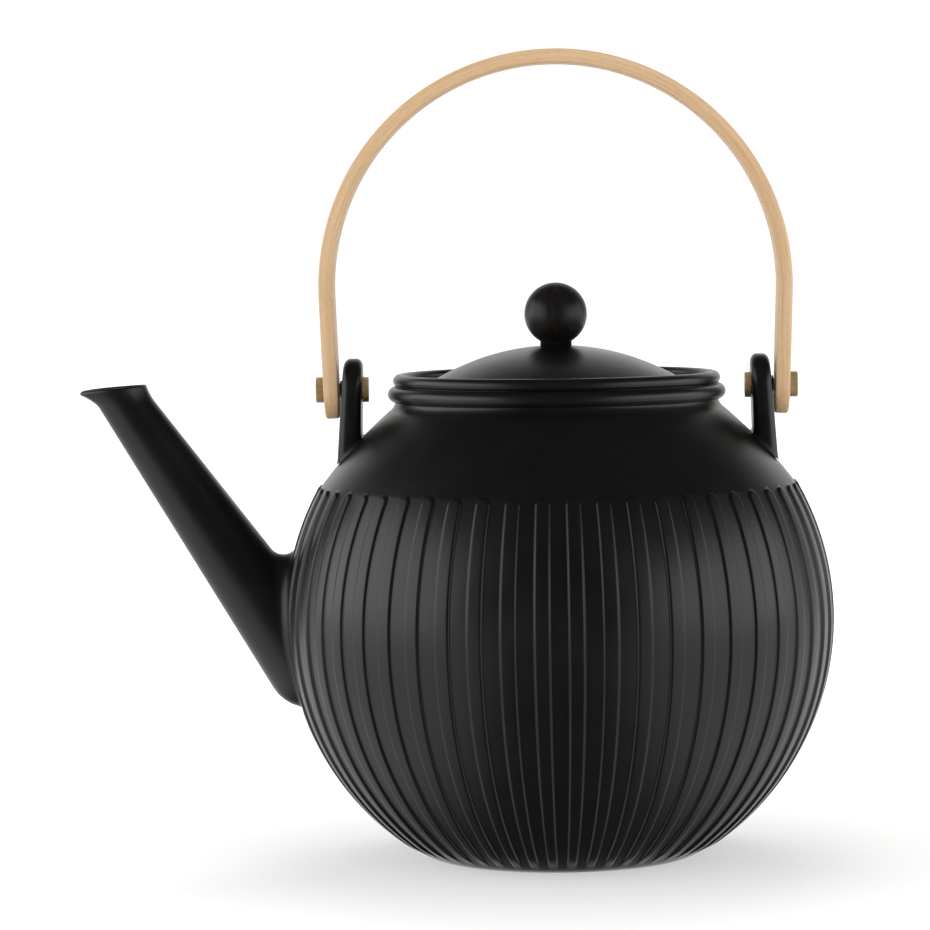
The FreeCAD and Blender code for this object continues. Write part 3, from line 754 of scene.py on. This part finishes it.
class Finish:
    """A material in the making: a shader with nodes that vary its colour, gloss and relief."""

    def __init__(self, name, **sockets):
        self.material = bpy.data.materials.new(name)
        self.material.use_nodes = True
        self.tree = self.material.node_tree
        self.shader = self.tree.nodes["Principled BSDF"]
        for socket, value in sockets.items():
            self.shader.inputs[socket.replace("_", " ")].default_value = value

    def fill(self, socket, value):
        """Link another node's output to a socket, or set the socket to a plain value."""
        if isinstance(value, bpy.types.NodeSocket):
            self.tree.links.new(value, socket)
        else:
            socket.default_value = value

    def node(self, kind, *inputs, **settings):
        """A node whose inputs, in order, are set or linked, and its first output."""
        made = self.tree.nodes.new("ShaderNode" + kind)
        for setting, value in settings.items():
            setattr(made, setting, value)
        for socket, value in zip(made.inputs, inputs):
            if value is not None:
                self.fill(socket, value)
        return made.outputs[0]

    def place(self, *size):
        """The point's place in the piece's own frame, in units of a size, or of one for each axis."""
        made = self.tree.nodes.new("ShaderNodeTexCoord")
        scale = size if len(size) == 3 else size * 3
        return self.node("Mapping", made.outputs["Object"], None, None, scale, vector_type="TEXTURE")

    def along_grain(self, *size):
        """The point's place along, across and through the piece, in units of a size for each."""
        made = self.tree.nodes.new("ShaderNodeAttribute")
        made.attribute_name = "grain"
        return self.node("Mapping", made.outputs["Vector"], None, None, size, vector_type="TEXTURE")

    def noise(self, place, detail=3.0, rough=0.55, distortion=0.0):
        """Cloudy noise at a stretched place, from 0 to 1."""
        made = self.tree.nodes.new("ShaderNodeTexNoise")
        self.tree.links.new(place, made.inputs["Vector"])
        made.inputs["Scale"].default_value = 1.0
        made.inputs["Detail"].default_value = detail
        made.inputs["Roughness"].default_value = rough
        made.inputs["Distortion"].default_value = distortion
        return made.outputs[0]

    def spread(self, value, to_low, to_high, low=NOISE_LOW, high=NOISE_HIGH):
        """A value mapped from one range, which is noise's own unless told, to another."""
        return self.node("MapRange", value, low, high, to_low, to_high)

    def colours(self, value, *stops):
        """A colour picked from stops of (place, colour) by a value."""
        made = self.tree.nodes.new("ShaderNodeValToRGB")
        ramp = made.color_ramp
        while len(ramp.elements) < len(stops):
            ramp.elements.new(1.0)
        for element, (place, colour) in zip(ramp.elements, stops):
            element.position = place
            element.color = colour
        self.tree.links.new(value, made.inputs[0])
        return made.outputs[0]

    def shades(self, value, darker, lighter, low=NOISE_LOW, high=NOISE_HIGH):
        """A colour between two, picked by a value that is noise unless told."""
        return self.colours(value, (low, darker), (high, lighter))

    def blend(self, share, first, second):
        """Two colours mixed by a share."""
        made = self.tree.nodes.new("ShaderNodeMix")
        made.data_type = "RGBA"
        self.tree.links.new(share, made.inputs["Factor"])
        self.fill(made.inputs[MIX_COLOURS[0]], first)
        self.fill(made.inputs[MIX_COLOURS[1]], second)
        return made.outputs[MIX_COLOUR_OUT]

    def sum(self, first, second, share):
        """One value plus a share of another."""
        return self.node("Math", second, share, first, operation="MULTIPLY_ADD")

    def set(self, socket, value):
        """Lead a value into one of the shader's sockets."""
        self.tree.links.new(value, self.shader.inputs[socket])

    def relief(self, height, depth):
        """Give the surface a relief whose height of 1 stands for a depth in metres."""
        made = self.tree.nodes.new("ShaderNodeBump")
        made.inputs["Strength"].default_value = 1.0
        made.inputs["Distance"].default_value = depth
        self.tree.links.new(height, made.inputs["Height"])
        self.tree.links.new(made.outputs[0], self.shader.inputs["Normal"])


def satin_glaze():
    """A satin black glaze: faintly clouded, with a fine orange-peel surface and a few pinholes."""
    finish = Finish("satin_black_glaze", Specular_IOR_Level=0.5)
    cloud = finish.noise(finish.place(20 * MM), detail=4.0)
    fine = finish.noise(finish.place(1.1 * MM), detail=2.0)
    speck = finish.noise(finish.place(2.2 * MM), detail=1.0)
    pits = finish.spread(speck, -1.0, 0.0, low=0.24, high=0.30)
    finish.set("Base Color", finish.shades(cloud, srgb(9, 10, 9), srgb(14, 15, 13)))
    finish.set("Roughness", finish.sum(finish.spread(cloud, 0.30, 0.36), fine, share=0.04))
    finish.relief(finish.sum(fine, pits, share=0.6), depth=0.02 * MM)
    return finish.material


def bent_wood():
    """Pale bent wood under a thin oil finish: long streaks, fibres and fine dark pores."""
    finish = Finish("oiled_pale_wood", Roughness=0.5, Specular_IOR_Level=0.4)
    broad = finish.noise(finish.along_grain(90 * MM, 6.5 * MM, 1.6 * MM), detail=4.0, distortion=0.4)
    streak = finish.noise(finish.along_grain(30 * MM, 1.1 * MM, 0.7 * MM), detail=5.0, rough=0.65)
    pore = finish.noise(finish.along_grain(3.2 * MM, 0.22 * MM, 0.22 * MM), detail=2.0, rough=0.6)
    blotch = finish.noise(finish.along_grain(30 * MM, 20 * MM, 10 * MM), detail=3.0)
    base = finish.colours(broad, (0.30, srgb(179, 144, 104)), (0.5, srgb(190, 158, 120)),
                          (0.72, srgb(198, 168, 133)))
    fibre = finish.colours(streak, (0.34, srgb(165, 129, 91)), (0.52, srgb(190, 159, 121)),
                           (0.75, srgb(201, 173, 138)))
    wood = finish.blend(finish.spread(blotch, 0.25, 0.55), base, fibre)
    pore_share = finish.spread(pore, 0.40, 0.0, low=0.30, high=0.42)
    finish.set("Base Color", finish.blend(pore_share, wood, srgb(150, 114, 80)))
    finish.set("Roughness", finish.spread(streak, 0.56, 0.42))
    finish.relief(finish.sum(streak, pore, share=1.4), depth=0.05 * MM)
    return finish.material


def aged_brass():
    """Turned brass gone dull: brown tarnish in patches over fine lathe marks."""
    finish = Finish("aged_brass", Metallic=0.6)
    patch = finish.noise(finish.place(3.5 * MM), detail=4.0, rough=0.65)
    turned = finish.noise(finish.place(0.12 * MM, 4 * MM, 4 * MM), detail=2.0)
    brown = srgb(172, 142, 102)
    yellow = srgb(214, 186, 142)
    finish.set("Base Color", finish.shades(patch, brown, yellow, low=0.35, high=0.6))
    finish.set("Roughness", finish.sum(finish.spread(patch, 0.42, 0.26), turned, share=0.08))
    finish.relief(turned, depth=0.01 * MM)
    return finish.material


def black_bush():
    """The black nylon of the spacers, with a fine moulded grain."""
    finish = Finish("black_nylon")
    grain = finish.noise(finish.place(0.4 * MM), detail=2.0)
    finish.set("Base Color", finish.shades(grain, srgb(17, 17, 18), srgb(30, 30, 30)))
    finish.set("Roughness", finish.spread(grain, 0.45, 0.6))
    finish.relief(grain, depth=0.02 * MM)
    return finish.material


def stained_knob():
    """Turned wood stained nearly black, the grain and turning rings just showing."""
    finish = Finish("stained_black_wood", Specular_IOR_Level=0.35)
    figure = finish.noise(finish.along_grain(1.2 * MM, 1.6 * MM, 10 * MM), detail=4.0, rough=0.6)
    rings = finish.noise(finish.along_grain(50 * MM, 50 * MM, 0.3 * MM), detail=2.0)
    finish.set("Base Color", finish.shades(figure, srgb(12, 11, 10), srgb(26, 22, 20), low=0.35))
    finish.set("Roughness", finish.spread(figure, 0.34, 0.46))
    finish.relief(finish.sum(figure, rings, share=0.4), depth=0.03 * MM)
    return finish.material


def brushed_steel(name, roughness):
    """Stainless steel with marks that run round it."""
    finish = Finish(name, Metallic=1.0)
    brushed = finish.noise(finish.place(6 * MM, 6 * MM, 0.12 * MM), detail=3.0)
    smear = finish.noise(finish.place(12 * MM), detail=3.0)
    smeared = finish.spread(smear, roughness - 0.05, roughness + 0.05)
    finish.set("Base Color", finish.shades(smear, srgb(188, 188, 186), srgb(210, 209, 206)))
    finish.set("Roughness", finish.sum(smeared, brushed, share=0.1))
    finish.relief(brushed, depth=0.008 * MM)
    return finish.material


def grey_silicone():
    """The seal's soft translucent grey, faintly dusty."""
    finish = Finish("grey_silicone", Subsurface_Weight=0.2, Subsurface_Scale=1 * MM)
    dust = finish.noise(finish.place(2 * MM), detail=3.0)
    finish.set("Base Color", finish.shades(dust, srgb(150, 151, 150), srgb(176, 177, 175)))
    finish.set("Roughness", finish.spread(dust, 0.5, 0.65))
    finish.relief(dust, depth=0.01 * MM)
    return finish.material


def dress_node(name, material):
    """Give a CAD node that stays in view its finish."""
    node = frame["nodes"][name]
    node.data.materials.clear()
    node.data.materials.append(material)


# ---------------------------------------------------------------- room

def white_paper():
    """White paper with a faint tooth, made to glow though it is no lamp, with the glow painted weaker near
    the pot as a painted shadow.
    """
    finish = Finish("white_paper", Specular_IOR_Level=0.0, Emission_Color=(1, 1, 1, 1))
    # Painted shadow: the glow is weaker close to the pot and stronger far off.
    nearness = finish.node("TexGradient", finish.place(FLOOR_PAINTED_SHADOW_REACH), gradient_type="SPHERICAL")
    painted_shadow_glow, far_glow = FLOOR_PAINTED_GLOW
    finish.set("Emission Strength", finish.spread(nearness, far_glow, painted_shadow_glow, low=0.0, high=0.8))
    tooth = finish.noise(finish.place(2 * MM), detail=3.0)
    finish.set("Base Color", finish.shades(tooth, srgb(151, 151, 150), srgb(157, 157, 156)))
    finish.set("Roughness", finish.spread(tooth, 0.7, 0.8))
    return finish.material


def build_floor():
    """A plain white tabletop, which the pot's gloss doesn't show."""
    half = FLOOR_SIZE / 2
    corners = [(-half, -half, 0), (half, -half, 0), (half, half, 0), (-half, half, 0)]
    mesh = bpy.data.meshes.new("floor")
    mesh.from_pydata(corners, [], [(0, 1, 2, 3)])
    mesh.materials.append(white_paper())
    floor = bpy.data.objects.new("floor", mesh)
    floor.visible_glossy = False
    bpy.context.collection.objects.link(floor)


def around(azimuth, distance, height):
    """A place round the pot: the azimuth is 0 in front, and grows towards the spout."""
    turn = math.radians(azimuth)
    return (-distance * math.sin(turn), -distance * math.cos(turn), height)


def add_softbox(name, place, target, width, height, radiance, seen_in_gloss=True):
    """A rectangular soft light at a place, facing a target, as bright as the radiance says."""
    light = bpy.data.lights.new(name, "AREA")
    light.shape = "RECTANGLE"
    light.size = width
    light.size_y = height
    light.energy = radiance * math.pi * width * height
    lamp = bpy.data.objects.new(name, light)
    lamp.location = place
    lamp.rotation_euler = (Vector(target) - Vector(place)).to_track_quat("-Z", "Y").to_euler()
    lamp.visible_camera = False
    lamp.visible_glossy = seen_in_gloss
    bpy.context.collection.objects.link(lamp)


def add_softboxes():
    """One softbox at each side, low and wide, and a high light at the back."""
    add_softbox("left_softbox", around(82, 1.10, 0.42), SOFTBOX_AIM, width=1.75, height=0.78, radiance=2.0)
    add_softbox("right_softbox", around(-78, 1.15, 0.33), SOFTBOX_AIM, width=1.8, height=0.60, radiance=1.7)
    add_softbox("back_light", around(180, 0.90, 1.30), (0, 0, 0), width=1.0, height=0.6, radiance=6.2,
                seen_in_gloss=False)


def white_room():
    """A white world, which the pot's gloss sees bright behind and low at the sides, and dark towards
    the camera."""
    world = bpy.data.worlds.new("studio")
    bpy.context.scene.world = world
    world.use_nodes = True
    world.cycles.sampling_method = "NONE"
    nodes = world.node_tree.nodes
    link = world.node_tree.links.new

    def spread(value, low, high, to_low, to_high):
        made = nodes.new("ShaderNodeMapRange")
        made.interpolation_type = "SMOOTHSTEP"
        link(value, made.inputs["Value"])
        for socket, number in zip(made.inputs[1:5], (low, high, to_low, to_high)):
            socket.default_value = number
        return made.outputs[0]

    def combine(operation, *values):
        made = nodes.new("ShaderNodeMath")
        made.operation = operation
        for socket, value in zip(made.inputs, values):
            link(value, socket)
        return made.outputs[0]

    way = nodes.new("ShaderNodeSeparateXYZ")
    link(nodes.new("ShaderNodeTexCoord").outputs["Generated"], way.inputs[0])
    behind = spread(way.outputs["Y"], low=0.55, high=1.0, to_low=0.03, to_high=1.3)
    aside = combine("ABSOLUTE", way.outputs["X"])
    sides = spread(aside, low=0.3, high=0.8, to_low=0.0, to_high=0.85)
    below = spread(way.outputs["Z"], low=-0.15, high=0.05, to_low=1.0, to_high=0.0)
    seen_in_gloss = combine("ADD", behind, combine("MULTIPLY", sides, below))
    ray = nodes.new("ShaderNodeLightPath")
    strength = nodes.new("ShaderNodeMix")
    link(ray.outputs["Is Glossy Ray"], strength.inputs["Factor"])
    strength.inputs[MIX_NUMBERS[0]].default_value = WORLD_STRENGTH
    link(seen_in_gloss, strength.inputs[MIX_NUMBERS[1]])
    background = nodes["Background"]
    background.inputs["Color"].default_value = (1, 1, 1, 1)
    link(strength.outputs[0], background.inputs["Strength"])


def place_camera():
    """The camera, a little above the rim and nearly level, with a slight roll."""
    camera = bpy.data.objects.new("camera", bpy.data.cameras.new("camera"))
    bpy.context.collection.objects.link(camera)
    aim = (Vector(CAMERA_TARGET) - Vector(CAMERA_PLACE)).to_track_quat("-Z", "Y").to_matrix().to_4x4()
    camera.matrix_world = Matrix.Translation(CAMERA_PLACE) @ aim @ Matrix.Rotation(CAMERA_ROLL, 4, "Z")
    camera.data.lens = CAMERA_LENS
    camera.data.sensor_width = CAMERA_SENSOR
    bpy.context.scene.camera = camera
    bpy.context.scene.view_settings.view_transform = "Standard"


# ---------------------------------------------------------------- everything together

glaze = satin_glaze()
brass = aged_brass()
nylon = black_bush()
steel = brushed_steel("brushed_steel", roughness=0.28)
wire_steel = brushed_steel("drawn_wire", roughness=0.34)

build_pot(glaze)
build_spout(glaze)
build_ear("ear_rear", 1, glaze, "rear_ear")
build_ear("ear_front", -1, glaze, "front_ear")
build_bow(bent_wood())
build_lid(glaze)
build_knob(stained_knob())
build_infuser_mesh(wire_steel)
build_infuser_floor(wire_steel)

for end in ("front", "rear"):
    dress_node(end + "_bush", nylon)
    for part in ("post", "screw", "washer"):
        dress_node(end + "_" + part, brass)
for part in ("infuser_rim", "infuser_basket", "knob_screw", "knob_washer"):
    dress_node(part, steel)
dress_node("lid_seal", grey_silicone())

build_floor()
add_softboxes()
white_room()
place_camera()
